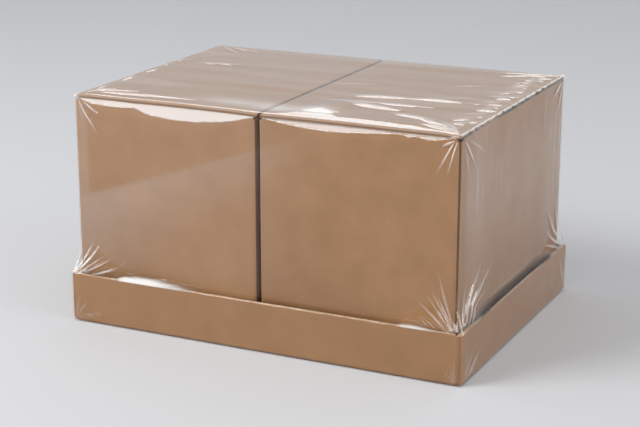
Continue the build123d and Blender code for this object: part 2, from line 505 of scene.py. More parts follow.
class Waves:
    """Smooth noise in the plane, about 1 high, from a fixed set of waves."""

    def __init__(self, rng, count, length_u, length_v):
        angle = rng.uniform(0, 2 * math.pi, count)
        pitch = rng.uniform(*WAVE_PITCHES, count)
        self.ku = np.cos(angle) * 2 * math.pi / (length_u * pitch)
        self.kv = np.sin(angle) * 2 * math.pi / (length_v * pitch)
        self.phase = rng.uniform(0, 2 * math.pi, count)

    def __call__(self, u, v):
        total = np.zeros_like(u)
        for ku, kv, phase in zip(self.ku, self.kv, self.phase):
            total += np.sin(ku * u + kv * v + phase)
        return total / math.sqrt(len(self.ku))


rng = np.random.default_rng(SEED)
wall_waves = [Waves(rng, count=14, length_u=90 * MM, length_v=120 * MM) for _ in WALLS]
edge_waves = [Waves(rng, count=12, length_u=9 * MM, length_v=500 * MM) for _ in WALLS]
haze_waves = [Waves(rng, count=12, length_u=16 * MM, length_v=90 * MM) for _ in WALLS]
top_waves = Waves(rng, count=16, length_u=260 * MM, length_v=34 * MM)
streak_waves = Waves(rng, count=14, length_u=300 * MM, length_v=30 * MM)
tick_waves = Waves(rng, count=14, length_u=50 * MM, length_v=11 * MM)


def make_ticks():
    """Short puckers of the top sheet in mm: slanting in from its right edge, and along its left edge."""
    ticks = []
    place, last = RIGHT_TICK_PLACES
    while place < last:
        start, width, height, length, drift, space = (rng.uniform(*limits) for limits in RIGHT_TICK_RANGES)
        ticks.append((start, place, start - length, place - drift, width, height))
        place += space
    place, last = LEFT_TICK_PLACES
    while place < last:
        start, width, height, length, drift, space = (rng.uniform(*limits) for limits in LEFT_TICK_RANGES)
        ticks.append((start, place, start + drift, place + length, width, height))
        place += length + space
    return ticks


edge_ticks = make_ticks()


def lens_depth(x):
    """Height of the leaning lens below the top edge, at places x along the front."""
    depth = np.zeros_like(x)
    for name, lens in LENSES.items():
        low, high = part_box(name)
        peak = lens["peak"]
        t = np.clip((x - low.x) / (high.x - low.x), 0, 1)
        rise = np.where(t < peak, t / peak, (1 - t) / (1 - peak))
        depth += lens["depth"] * np.sin(rise * math.pi / 2) ** lens["roundness"]
    return depth


def ragged_depth(name, x):
    """Depth of one carton's ragged lens in the film, and nothing beside that carton."""
    low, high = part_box(name)
    places, depths = np.array(LENSES[name]["edge"]).T * MM
    return np.where((x > low.x) & (x < high.x), np.interp(x - low.x, places, depths), 0)


def film_lens_depth(x):
    """The film's own lens, whose lower edge is ragged and never below the board's."""
    return np.minimum(sum(ragged_depth(name, x) for name in LENSES), lens_depth(x))


def painted_lens_highlight(x, z):
    """Painted highlight on the film: white within the lenses, standing for the film's reflection there, and
    over the lids' rolls, standing for the lit roll.
    """
    drop = FILM_TOP - z
    milk_and_painted_light = ROLL_HIGHLIGHT * smooth(*ROLL_HIGHLIGHT_DROPS, drop)
    for name, lens in LENSES.items():
        depth = ragged_depth(name, x)
        below_start = smooth(lens["highlight_from"], lens["highlight_from"] + LENS_HIGHLIGHT_RISE, drop)
        milk_and_painted_light += lens["milk_and_painted_light"] * below_start * smooth(depth + LENS_BLUR_OUT, depth - LENS_BLUR_IN, drop)
    return milk_and_painted_light * smooth(*LENS_ENDS, ROW_X - np.abs(x))


def gather_corners(points):
    """The film with a knob at its top corners, where it is gathered, and how white it is there, partly milky
    film and partly painted highlight.
    """
    milk_and_painted_light = np.zeros(points.shape[:-1])
    knob = np.zeros_like(points)
    for (x, y), whiteness in CORNER_MILK_AND_HIGHLIGHT.items():
        away = np.linalg.norm(points - np.array([x * ROW_X, y * ROW_Y, FILM_TOP]), axis=-1)
        gathered = whiteness * bell(away, 0, KNOB_SIZE)
        milk_and_painted_light += gathered
        knob += KNOB_HEIGHT * gathered[..., None] * np.array([x, y, 1]) / math.sqrt(3)
    return points + knob, milk_and_painted_light


def front_lean(depth, z):
    """How far the front leans back at height z: straight from the lens's lower edge to the top."""
    return np.maximum(0, np.minimum(z, TOP) - (TOP - depth)) * LEAN_SLOPE


def round_inset(z):
    """How far the film's rounded top edge stands in at height z."""
    rise = np.clip(z - WALL_TOP, 0, FILM_TOP_ROUND)
    return FILM_TOP_ROUND - np.sqrt(FILM_TOP_ROUND**2 - rise**2)


def lid_inset(z):
    """How far the film stands in at height z between the front panel's cut edge and the flat of the lid."""
    drop = np.clip(FILM_TOP - z, 0, EDGE_DROP)
    roll = ROLL_BACK - np.sqrt(ROLL_RADIUS**2 - (ROLL_RADIUS - np.minimum(drop, ROLL_DROP)) ** 2)
    return roll * np.minimum((EDGE_DROP - drop) / (EDGE_DROP - ROLL_DROP), 1)


def front_pull(x, z):
    """How far the film's front stands back from its plain wall: the lens, and the span over the roll."""
    pull = front_lean(film_lens_depth(x), z) + lid_inset(z) - round_inset(z)
    return pull * smooth(*PULL_ENDS, ROW_X - np.abs(x))


def crease(u, v, line, sharpness=1.0):
    """Lift and whiteness of one gathered crease: a spindle along a line, sharp along its crest; its white is
    partly milky film and partly painted highlight.
    """
    u0, v0, u1, v1, width, height = (value * MM for value in line)
    length = math.hypot(u1 - u0, v1 - v0)
    du, dv = (u1 - u0) / length, (v1 - v0) / length
    along = np.clip(((u - u0) * du + (v - v0) * dv) / length, 0, 1)
    across = np.abs((v - v0) * du - (u - u0) * dv)
    spindle = np.sin(math.pi * along**CREASE_EARLINESS)
    half = width * (CREASE_TIP + (1 - CREASE_TIP) * spindle)
    flank = np.clip(1 - across / half, 0, 1)
    core = np.clip(1 - across / (CREASE_CORE * half), 0, 1)
    lift = height * spindle**CREASE_FULLNESS * flank**sharpness
    return lift, np.minimum(height / CREASE_WHITE_HEIGHT, 1) * spindle * core


def side_sizes(side):
    """A wall's half length and distance from the middle, and the tray's ledge beyond each."""
    if side in LONG_WALLS:
        return ROW_X, ROW_Y, TRAY_X - ROW_X, TRAY_Y - ROW_Y
    return ROW_Y, ROW_X, TRAY_Y - ROW_Y, TRAY_X - ROW_X


def edge_distance(side, u):
    """Distance from the nearer upright edge of a wall."""
    return np.minimum(u, 2 * side_sizes(side)[0] - u)


def flare_share(edge, z):
    """Share of the ledge that the film stands out at height z, at a distance from the upright edge."""
    cornering = np.exp(-((edge / FLARE_SPREAD) ** FLARE_SPREAD_POWER))
    height = FLARE_MIDDLE + (FLARE_CORNER - FLARE_MIDDLE) * cornering
    return np.clip(1 - (z - RIM) / height, 0, 1) ** (1 + (FLARE_POWER - 1) * cornering)


def strip_height(side, u):
    """Height above the rim that the film leans up to, along a wall."""
    height = np.zeros_like(u)
    for start, end, peak, _ in STRIPS.get(side, []):
        t = np.clip((u / MM - start) / (end - start), 0, 1)
        height = np.maximum(height, peak * MM * np.sin(math.pi * t**STRIP_EARLINESS))
    return height


def painted_strip_highlight(side, u, z):
    """Painted highlight: whiteness of the film where it leans up from the rim."""
    milk_and_painted_light = np.zeros_like(u)
    height = strip_height(side, u)
    standing = smooth(height + STRIP_HIGHLIGHT_ABOVE, height - STRIP_HIGHLIGHT_BELOW, z - RIM)
    for start, end, _, whiteness in STRIPS.get(side, []):
        t = (u / MM - start) / (end - start)
        milk_and_painted_light += whiteness * smooth(*STRIP_FADE_IN, t) * smooth(*STRIP_FADE_OUT, t) * standing
    return np.where(z > RIM - LEVEL_TOLERANCE, milk_and_painted_light, 0)


def wall_share(side, u, z):
    """The flare along one wall, with the strips where the film leans up from the rim."""
    ledge = side_sizes(side)[-1]
    share = flare_share(edge_distance(side, u), z)
    rise = np.maximum(z - RIM, 0)
    height = strip_height(side, u)
    standing = (1 - rise * STRIP_SLOPE / ledge) * smooth(height + STRIP_TURN, height, rise)
    return np.maximum(share, standing * smooth(0, STRIP_FOOT, height))


def corner_radius(share, inset):
    """Radius of the film round an upright edge."""
    return np.maximum(FILM_CARTON_CORNER + (FILM_TRAY_CORNER - FILM_CARTON_CORNER) * share - inset, 0)


def wall_frame(side):
    """Directions out of a wall and along it."""
    heading = (side - 1) * math.pi / 2
    out = np.array([math.cos(heading), math.sin(heading), 0.0])
    along = np.array([-math.sin(heading), math.cos(heading), 0.0])
    return out, along


def long_wall_haze_and_sheen(u, z):
    """Milky film on a long wall along its left edge, and below a slanting line across its left carton a band
    that is partly milky film and partly painted sheen.
    """
    edge_strip = EDGE_HAZE * (1 - smooth(*EDGE_HAZE_ENDS, u))
    start, height = SLANT_START
    below = height + SLANT_RISE * (u - start) - z
    reach = np.maximum(SLANT_REACH - SLANT_REACH_FALL * u, SLANT_REACH_LEAST)
    strength = SLANT_HAZE_AND_SHEEN - SLANT_HAZE_AND_SHEEN_FALL * u
    fading = smooth(-SLANT_BLUR, SLANT_BLUR, below) * bell(np.maximum(below, 0), 0, reach)
    band = strength * fading + SLANT_FLOOR
    return np.maximum(edge_strip, band * (1 - smooth(*SLANT_ENDS, u)))


def short_wall_haze_and_sheen(waves, u, z):
    """White on a short wall, partly milky film and partly painted sheen: a broad sheen, brighter bands and
    lines, and a mottled upper part.
    """
    haze_and_sheen = bands(z, LEVEL_BANDS) + bands(u, UPRIGHT_BANDS) + FAR_HAZE_AND_SHEEN * smooth(*FAR_HAZE_AND_SHEEN_START, u)
    haze_and_sheen += bands(u, UPRIGHT_LINES) * bell(z, LINES_MIDDLE, LINES_REACH)
    mottle = MOTTLE + NEAR_MOTTLE * smooth(*NEAR_MOTTLE_ENDS, u)
    haze_and_sheen += mottle * smooth(*MOTTLE_WAVES, waves(u, z)) * smooth(*MOTTLE_HEIGHTS, z)
    return haze_and_sheen * smooth(*SHORT_HAZE_AND_SHEEN_START, u)


def wall_relief(side, u, z):
    """Lift and whiteness of a wall's creases, ripples, hazy film with painted sheen, and strips."""
    lift = np.zeros_like(u)
    white = painted_strip_highlight(side, u, z)
    levels = {"rim": z - RIM, "top": WALL_TOP - z, "tray": z}
    for level, away in levels.items():
        for from_edge, lines in zip((u, 2 * side_sizes(side)[0] - u), WALL_CREASES[level][side]):
            for line in lines:
                crease_lift, crease_white = crease(from_edge, away, line)
                lift += crease_lift
                white = np.maximum(white, crease_white * CREASE_MILK_AND_HIGHLIGHT[level])
    calm = smooth(0, CALM_EDGE, edge_distance(side, u))
    calm *= smooth(RIM, RIM + CALM_LEVEL, z) * smooth(TOP, TOP - CALM_LEVEL, z)
    lift += (wall_waves[side](u, z) * RIPPLE + STAND_OFF) * calm
    haze_and_sheen = long_wall_haze_and_sheen(u, z) if side in LONG_WALLS else short_wall_haze_and_sheen(haze_waves[side], u, z)
    return lift, np.maximum(white, haze_and_sheen * smooth(RIM, RIM + HAZE_RISE, z))


def gap_dip(x, z):
    """How far a long wall's film dips in over the gap between the cartons."""
    return GAP_DIP * bell(x, 0, GAP_DIP_WIDTH) * smooth(*GAP_DIP_FOOT, z) * smooth(*GAP_DIP_HEAD, z)


def long_wall_values(edge, x, z, white, slack):
    """Whiteness, slackness and shade of the film on a long wall, which is clear and dull over the gap."""
    over_gap = bell(x, 0, GAP_WIDTH)
    dulling = GAP_DULLING + (1 - GAP_DULLING) * smooth(*GAP_DULL_HEAD, z)
    dulling *= over_gap * smooth(*GAP_DULL_FOOT, z)
    slack = np.maximum(slack * smooth(*LONG_SLACK_ENDS, edge), dulling)
    return white * (1 - GAP_CLEARING * over_gap), slack, np.zeros_like(x)


def short_wall_values(edge, z, white, slack, line):
    """Whiteness, slackness and painted shade of the film on a short wall, with its painted highlight line
    and a grey layer of painted shade just above the rim.
    """
    ends = smooth(*SHORT_SLACK_ENDS, edge)
    # Painted shade: the film turns grey just above the rim, away from the corners
    shade = np.where(z > RIM + LEVEL_TOLERANCE, smooth(PAINTED_SHADE_HEIGHT, 0, z - RIM), 0) * ends
    return np.maximum(white, line), slack * ends, shade


def wall_points(side, u, z, inset):
    """Places and values of the film on a wall, at distances u along it and heights z."""
    half, out_half, half_ledge, out_ledge = side_sizes(side)
    at_edge = flare_share(np.zeros_like(u), z)
    radius = corner_radius(at_edge, inset)
    along = (u / half - 1) * (half + FILM_OFF + at_edge * half_ledge - inset - radius)
    out = out_half + FILM_OFF + wall_share(side, u, z) * out_ledge - inset
    lift, white = wall_relief(side, u, z)
    edge = edge_distance(side, u)
    upright = (inset == 0) | (z > RIM)
    round_share = np.clip((z - WALL_TOP) / FILM_TOP_ROUND, 0, 1)
    waves = edge_waves[side](u, z)
    hump = 4 * round_share * (1 - round_share)
    pucker = PUCKER * waves * hump * smooth(0, PUCKER_EDGE, edge)
    out += np.where(upright, lift * (1 - round_share) * smooth(0, RELIEF_EDGE, edge) + pucker, 0)
    out_way, along_way = wall_frame(side)
    points = along[..., None] * along_way + out[..., None] * out_way
    points[..., 2] = z

    x = points[..., 0]
    slack = smooth(0, SLACK_SHARE, wall_share(side, u, z - SLACK_RISE))
    slack = np.where(z > RIM + LEVEL_TOLERANCE, slack, 0)
    if side == FRONT:
        white = np.maximum(white, painted_lens_highlight(x, z))
        points[..., 1] += front_pull(x, z) + gap_dip(x, z)
    if side == BACK:
        points[..., 1] -= gap_dip(x, z)
    if side in LONG_WALLS:
        white, slack, shade = long_wall_values(edge, x, z, white, slack)
    else:
        # Painted highlight along the film's rounded top edge
        line = LINE_HIGHLIGHT * smooth(*LINE_BREAKS, waves) * smooth(*LINE_SHARES, round_share)
        white, slack, shade = short_wall_values(edge, z, white, slack, line)
    points, corner_white = gather_corners(points)
    white = np.maximum(np.where(upright, white, 0), corner_white)
    return points, np.stack([np.maximum(white, PAINTED_SHADE_COVER * shade), 1 - SLACK_DULLING * slack, shade], -1)


def edge_points(side, turn, z, inset):
    """Places and values of the film round the upright edge at a wall's right end."""
    half, out_half, half_ledge, out_ledge = side_sizes(side)
    at_edge = flare_share(np.zeros_like(z), z)
    radius = corner_radius(at_edge, inset)
    along = half + FILM_OFF + at_edge * half_ledge - inset - radius
    out = out_half + FILM_OFF + at_edge * out_ledge - inset - radius
    out_way, along_way = wall_frame(side)
    points = (along + radius * np.sin(turn))[..., None] * along_way
    points += (out + radius * np.cos(turn))[..., None] * out_way
    points[..., 2] = z
    points, white = gather_corners(points)
    flared = smooth(RIM + FLARE_CORNER, RIM + EDGE_MILK_AND_HIGHLIGHT_HEIGHT, z)
    white += EDGE_MILK_AND_HIGHLIGHT[side] * np.where(z > RIM - LEVEL_TOLERANCE, flared, 0)
    return points, np.stack([white, np.ones_like(z), np.zeros_like(z)], -1)


def swell_width(x):
    """Width of the slope behind the front edge, at places x along it."""
    places, widths = np.array(SWELL_WIDTHS).T * MM
    return np.interp(x, places, widths)


def top_swell(x, from_front):
    """Height of the top sheet's swelling behind the front edge, which ends short of the side edges."""
    width = swell_width(x)
    rise = np.clip(from_front / width, 0, 1) * (1 - smooth(width, width + SWELL_BACK, from_front))
    inside = smooth(FILM_TOP_ROUND, FILM_TOP_ROUND + SWELL_END, ROW_X - np.abs(x))
    return SWELL_SLOPE * width * rise * inside


def top_milk_and_highlights(x, y, from_front):
    """Whiteness of the top sheet without its creases, partly milky film and partly painted highlight:
    patches, a strip behind the front edge and streaks.
    """
    white = np.full_like(x, TOP_HAZE)
    for milk_and_painted_light, *sizes in TOP_PATCHES:
        x_middle, x_size, y_middle, y_size = (size * MM for size in sizes)
        white += milk_and_painted_light * bell(x, x_middle, x_size) * bell(y, y_middle, y_size)
    strip_ends = (share * swell_width(x) for share in FRONT_STRIP_SHARES)
    white += FRONT_STRIP_MILK_AND_HIGHLIGHT * smooth(*strip_ends, from_front) * smooth(*FRONT_STRIP_START, x)
    white += STREAK_MILK_AND_HIGHLIGHT * smooth(*STREAK_WAVES, streak_waves(x, y))
    white += TICK_HAZE_AND_HIGHLIGHT * smooth(*STREAK_WAVES, tick_waves(x, y)) * smooth(*TICK_HAZE_AND_HIGHLIGHT_START, x)
    return white * (1 - TOP_GAP_CLEARING * bell(x, 0, TOP_GAP_WIDTH))


def top_points(u_long, u_short):
    """Places and values of the film on top, at distances from its left and front edges."""
    half_x = ROW_X + FILM_OFF - FILM_TOP_ROUND
    half_y = ROW_Y + FILM_OFF - FILM_TOP_ROUND
    x = (u_long / ROW_X - 1) * half_x
    y = (u_short / ROW_Y - 1) * half_y
    from_front = y + half_y
    edge = np.minimum(ROW_X - np.abs(x), ROW_Y - np.abs(y)) - FILM_TOP_ROUND
    ripple = TOP_RIPPLE * top_waves(x, y) + TOP_STAND_OFF - TOP_GAP_DIP * bell(x, 0, TOP_GAP_WIDTH)
    lift = ripple * smooth(0, TOP_CALM_EDGE, edge) + top_swell(x, from_front)
    white = top_milk_and_highlights(x, y, from_front)
    for kind, lines in (("sheet", SHEET_CREASES), ("tick", edge_ticks)):
        for line in lines:
            crease_lift, crease_white = crease(x, y, line, SHEET_SHARPNESS)
            lift += crease_lift * smooth(0, SHEET_EDGE, edge)
            white = np.maximum(white, crease_white * CREASE_MILK_AND_HIGHLIGHT[kind])
    leaning = 1 - smooth(LEAN_FROM, LEAN_TO, from_front)
    y = y + front_pull(x, np.full_like(x, FILM_TOP)) * leaning
    points, corner_white = gather_corners(np.stack([x, y, FILM_TOP + lift], -1))
    shine = 1 - TOP_GAP_DULLING * bell(x, 0, TOP_GAP_DULL_WIDTH)
    return points, np.stack([np.maximum(white, corner_white), shine, np.zeros_like(x)], -1)


def spaced(length, step):
    """Places from 0 to a length, about a step apart."""
    return np.linspace(0, length, round(length / step) + 1)


def fan(width, height):
    """Rays from a corner to the two far sides of a rectangle, with steps along each ray."""
    upright = [(width, height * step) for step in FAN_STEPS]
    level = [(width * step, height) for step in FAN_STEPS[-2::-1]]
    far = np.array(upright + level)
    return far[:, None, 0] * FAN_STEPS, far[:, None, 1] * FAN_STEPS


def bent_rows():
    """Heights and insets of the rows under the tray, round its base and round the top."""
    under = np.linspace(FILM_UNDER_LAP, FILM_BASE_ROUND, UNDER_ROWS)
    base_turn = np.linspace(0, math.pi / 2, BASE_ROWS)
    top_turn = np.linspace(0, math.pi / 2, TURN_ROWS)
    return [
        (np.zeros_like(under), under),
        (FILM_BASE_ROUND * (1 - np.cos(base_turn)), FILM_BASE_ROUND * (1 - np.sin(base_turn))),
        (WALL_TOP + FILM_TOP_ROUND * np.sin(top_turn), FILM_TOP_ROUND * (1 - np.cos(top_turn))),
    ]


def upright_rows():
    """Heights of the rows on the tray, in the rim's fans, between the fans and in the top's fans."""
    tray = np.append(np.linspace(FILM_BASE_ROUND, RIM - LAST_ROW_DROP, TRAY_ROWS), RIM)
    rim_fan = RIM + FAN_RIM * FAN_STEPS
    top_fan = WALL_TOP - FAN_TOP * FAN_STEPS[::-1]
    between = np.linspace(rim_fan[-1], top_fan[0], BETWEEN_ROWS)
    return tray, rim_fan, between, top_fan


def wall_patches(side, middle, fan_width):
    """Grids of one wall: rows that run right along it, the rows between its fans, and the fans."""
    half = side_sizes(side)[0]
    tray, rim_fan, between, top_fan = upright_rows()
    fan_columns = fan_width * FAN_STEPS
    columns = np.concatenate([fan_columns, middle[1:-1], 2 * half - fan_columns[::-1]])
    patches = []
    for z, inset in bent_rows() + [(tray, 0 * tray), (between, 0 * between)]:
        u, z_grid = np.meshgrid(columns, z)
        patches.append(wall_points(side, u, z_grid, np.meshgrid(columns, inset)[1]))
    for z in (rim_fan, top_fan):
        u, z_grid = np.meshgrid(middle, z)
        patches.append(wall_points(side, u, z_grid, np.zeros_like(u)))
    for start, way, fan_height in ((RIM, 1, FAN_RIM), (WALL_TOP, -1, FAN_TOP)):
        from_edge, away = fan(fan_width, fan_height)
        for u in (from_edge, 2 * half - from_edge):
            patches.append(wall_points(side, u, start + way * away, np.zeros_like(u)))
    return patches


def edge_patches(side):
    """Grids of the upright edge at a wall's right end."""
    turn = np.linspace(0, math.pi / 2, TURN_ROWS)
    patches = []
    for z, inset in bent_rows() + [(rows, 0 * rows) for rows in upright_rows()]:
        turn_grid, z_grid = np.meshgrid(turn, z)
        patches.append(edge_points(side, turn_grid, z_grid, np.meshgrid(turn, inset)[1]))
    return patches


def top_patches(long_middle, short_middle):
    """Grids of the top: its middle, the parts between its fans along each side, and the fans."""
    x_edge, y_edge = 2 * ROW_X, 2 * ROW_Y
    left_fan, front_fan = FAN_LONG * FAN_STEPS, FAN_SHORT * FAN_STEPS
    patches = [top_points(*np.meshgrid(long_middle, short_middle))]
    for y in (front_fan, y_edge - front_fan):
        patches.append(top_points(*np.meshgrid(long_middle, y)))
    for x in (left_fan, x_edge - left_fan):
        patches.append(top_points(*np.meshgrid(x, short_middle)))
    fan_x, fan_y = fan(FAN_LONG, FAN_SHORT)
    for x in (fan_x, x_edge - fan_x):
        for y in (fan_y, y_edge - fan_y):
            patches.append(top_points(x, y))
    return patches


def film_patches():
    """The film's grids of points and values: fans at the corners and plain grids between them."""
    long_middle = FAN_LONG + spaced(2 * ROW_X - 2 * FAN_LONG, LONG_STEP)
    short_middle = FAN_SHORT + spaced(2 * ROW_Y - 2 * FAN_SHORT, SHORT_STEP)
    patches = []
    for side in WALLS:
        middle, fan_width = (long_middle, FAN_LONG) if side in LONG_WALLS else (short_middle, FAN_SHORT)
        patches += wall_patches(side, middle, fan_width)
        patches += edge_patches(side)
    return patches + top_patches(long_middle, short_middle)


def film_mesh():
    """The film as one open sheet, welded from its grids, with the values that its shader reads."""
    points, values, faces = [], [], []
    first = 0
    for patch, patch_values in film_patches():
        rows, columns, _ = patch.shape
        index = first + np.arange(rows * columns).reshape(rows, columns)
        quads = np.stack([index[:-1, :-1], index[:-1, 1:], index[1:, 1:], index[1:, :-1]], -1)
        faces.append(quads.reshape(-1, 4))
        points.append(patch.reshape(-1, 3))
        values.append(patch_values.reshape(-1, len(FILM_VALUES)))
        first += rows * columns
    mesh = bpy.data.meshes.new("film_sheet")
    mesh.from_pydata(np.concatenate(points).tolist(), [], np.concatenate(faces).tolist())
    for name, value in zip(FILM_VALUES, np.concatenate(values).T):
        mesh.attributes.new(name, "FLOAT", "POINT").data.foreach_set("value", value.astype(np.float32))
    form = bmesh.new()
    form.from_mesh(mesh)
    bmesh.ops.remove_doubles(form, verts=form.verts, dist=FILM_WELD)
    bmesh.ops.recalc_face_normals(form, faces=form.faces)
    form.to_mesh(mesh)
    form.free()
    mesh.shade_smooth()
    return mesh


def node_material(name):
    """An empty node material, with its nodes, links and output."""
    material = bpy.data.materials.new(name)
    material.use_nodes = True
    tree = material.node_tree
    tree.nodes.clear()
    output = tree.nodes.new("ShaderNodeOutputMaterial")
    return material, tree.nodes, tree.links, output


def matt_material(name, roughness, specular):
    """A node material with one matt shader, whose colour is still to be given."""
    material, nodes, links, output = node_material(name)
    shader = nodes.new("ShaderNodeBsdfPrincipled")
    shader.inputs["Roughness"].default_value = roughness
    shader.inputs["Specular IOR Level"].default_value = specular
    links.new(shader.outputs["BSDF"], output.inputs["Surface"])
    return material, nodes, links, shader.inputs["Base Color"]


def noise(nodes, links, vector, scale, detail, roughness):
    """A noise texture's value."""
    texture = nodes.new("ShaderNodeTexNoise")
    texture.inputs["Scale"].default_value = scale
    texture.inputs["Detail"].default_value = detail
    texture.inputs["Roughness"].default_value = roughness
    links.new(vector, texture.inputs["Vector"])
    return texture.outputs["Fac"]


def stretched(nodes, links, vector, scale):
    """Coordinates scaled by axis."""
    mapping = nodes.new("ShaderNodeMapping")
    mapping.inputs["Scale"].default_value = scale
    links.new(vector, mapping.inputs["Vector"])
    return mapping.outputs["Vector"]


def math_node(nodes, links, operation, first, second):
    """The result of an operation on a socket and another socket or a number."""
    node = nodes.new("ShaderNodeMath")
    node.operation = operation
    links.new(first, node.inputs[0])
    if isinstance(second, float):
        node.inputs[1].default_value = second
    else:
        links.new(second, node.inputs[1])
    return node.outputs["Value"]


def remap(nodes, links, value, source, target):
    """A value carried from one range to another, and held within it."""
    node = nodes.new("ShaderNodeMapRange")
    for name, number in zip(("From Min", "From Max", "To Min", "To Max"), (*source, *target)):
        node.inputs[name].default_value = number
    links.new(value, node.inputs["Value"])
    return node.outputs["Result"]


def mixed_colour(nodes, links, share, first, second):
    """Two colours mixed by a share; each colour is a socket or three numbers."""
    node = nodes.new("ShaderNodeMix")
    node.data_type = "RGBA"
    links.new(share, node.inputs["Factor"])
    for index, colour in zip(MIX_COLOURS, (first, second)):
        if isinstance(colour, tuple):
            node.inputs[index].default_value = (*colour, 1)
        else:
            links.new(colour, node.inputs[index])
    return node.outputs[MIX_RESULT]


def attribute(nodes, name):
    """A value that the mesh holds at its points."""
    node = nodes.new("ShaderNodeAttribute")
    node.attribute_name = name
    return node.outputs["Fac"]


def mixed_shader(nodes, links, share, first, second):
    """Two shaders mixed by a share."""
    node = nodes.new("ShaderNodeMixShader")
    for socket, source in zip(node.inputs, (share, first, second)):
        links.new(source, socket)
    return node.outputs["Shader"]


def kraft_material(name, light, dark):
    """Brown kraft liner: clouded pulp, short fibres and a few dark flecks."""
    material, nodes, links, base_colour = matt_material(name, roughness=0.85, specular=0.1)
    place = nodes.new("ShaderNodeTexCoord").outputs["Object"]
    along_fibres = stretched(nodes, links, place, FIBRE_SCALES)
    along_flecks = stretched(nodes, links, place, FLECK_SCALES)
    cloud = noise(nodes, links, place, scale=36, detail=3, roughness=0.5)
    mottle = noise(nodes, links, place, scale=140, detail=3, roughness=0.5)
    fibre = noise(nodes, links, along_fibres, scale=1, detail=2, roughness=0.6)
    fleck = noise(nodes, links, along_flecks, scale=1, detail=1, roughness=0.5)
    tone = math_node(nodes, links, "MULTIPLY", cloud, KRAFT_CLOUD)
    for layer, share in ((mottle, KRAFT_MOTTLE), (fibre, KRAFT_FIBRE)):
        tone = math_node(nodes, links, "ADD", tone, math_node(nodes, links, "MULTIPLY", layer, share))
    colour = mixed_colour(nodes, links, remap(nodes, links, tone, KRAFT_TONES, (0, 1)), dark, light)
    speck = tuple(FLECK_DARKNESS * channel for channel in dark)
    flecked = remap(nodes, links, fleck, FLECK_TONES, (0, FLECK_STRENGTH))
    links.new(mixed_colour(nodes, links, flecked, colour, speck), base_colour)
    return material


def cut_edge_material(name, light, dark, pitch):
    """Cut edge of corrugated board: pale torn liners with darker flutes between them, partly their own tone
    and partly painted shade in their hollows.
    """
    material, nodes, links, base_colour = matt_material(name, roughness=0.9, specular=0.1)
    place = nodes.new("ShaderNodeTexCoord").outputs["Object"]
    along_flutes = stretched(nodes, links, place, (1 / pitch, 1 / pitch, 1))
    flutes = noise(nodes, links, along_flutes, scale=1, detail=2, roughness=0.6)
    colour = mixed_colour(nodes, links, remap(nodes, links, flutes, FLUTE_TONES, (0, 1)), dark, light)
    links.new(colour, base_colour)
    return material


def film_material():
    """Clear film: see-through head on, mirror-like at a glance, white where it is milky or where highlights
    and reflections are painted, and grey where shade is painted.
    """
    material, nodes, links, output = node_material("shrink_film")
    clear = nodes.new("ShaderNodeBsdfTransparent")
    gloss = nodes.new("ShaderNodeBsdfGlossy")
    gloss.inputs["Roughness"].default_value = FILM_ROUGHNESS
    backfacing = nodes.new("ShaderNodeNewGeometry").outputs["Backfacing"]
    fresnel = nodes.new("ShaderNodeFresnel")
    links.new(remap(nodes, links, backfacing, (0, 1), (FILM_IOR, 1 / FILM_IOR)), fresnel.inputs["IOR"])
    shine = math_node(nodes, links, "MULTIPLY", fresnel.outputs["Fac"], FILM_GLOSS)
    shine = math_node(nodes, links, "MINIMUM", shine, 1.0)
    shine = math_node(nodes, links, "MULTIPLY", shine, attribute(nodes, "shine"))
    skin = mixed_shader(nodes, links, shine, clear.outputs["BSDF"], gloss.outputs["BSDF"])
    # A white diffuse layer: milky film, painted highlights and reflections, and grey painted shade where the
    # shade value says
    milk_and_painted_light = nodes.new("ShaderNodeBsdfDiffuse")
    milk_colour = mixed_colour(nodes, links, attribute(nodes, "shade"), MILK_AND_HIGHLIGHT_COLOUR, PAINTED_SHADE_COLOUR)
    links.new(milk_colour, milk_and_painted_light.inputs["Color"])
    mix = mixed_shader(nodes, links, attribute(nodes, "white"), skin, milk_and_painted_light.outputs["BSDF"])
    links.new(mix, output.inputs["Surface"])
    return material


def stage_material(name, colour):
    """Matt pale studio paper."""
    material, _, _, base_colour = matt_material(name, roughness=0.95, specular=0.05)
    base_colour.default_value = (*colour, 1)
    return material


def add_object(name, data):
    """A new object in the scene."""
    item = bpy.data.objects.new(name, data)
    bpy.context.scene.collection.objects.link(item)
    return item


def add_piece(name, mesh, materials):
    """A new piece that moves with the part."""
    piece = add_object(name, mesh)
    for material in materials:
        mesh.materials.append(material)
    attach(piece, "root")
    return piece


def carton_slot(face):
    """Material slot of a carton's face, by the way it looks and where it is."""
    middle = face.calc_center_median()
    depth = TOP - middle.z
    right, back, up = face.normal
    edge_from, edge_to = PANEL_EDGE_DEPTHS
    if up > LEVEL and edge_from < depth < edge_to:
        return CUT_EDGE
    # The lids' side edges get a cut edge with long near-black patches: painted shade of the gap beside the
    # lid
    if abs(right) > SLANTED and depth < LID_EDGE_DEPTH and abs(middle.x) > ROW_X - LID_EDGE_WIDTH:
        return LID_EDGE_PAINTED_SHADE
    # Right-turned folds of both cartons, and the left carton's whole side in the gap, get a dark kraft:
    # painted shade
    if right > TURNED and abs(up) < SLANTED and (middle.x < 0 or right < SQUARE):
        return FOLD_PAINTED_SHADE
    # The front of the lid's roll gets a darker kraft: painted shade of the slit below it
    if back < -SQUARE and depth < LID_ROLL_DEPTH:
        return LID_ROLL_PAINTED_SHADE
    return BOARD


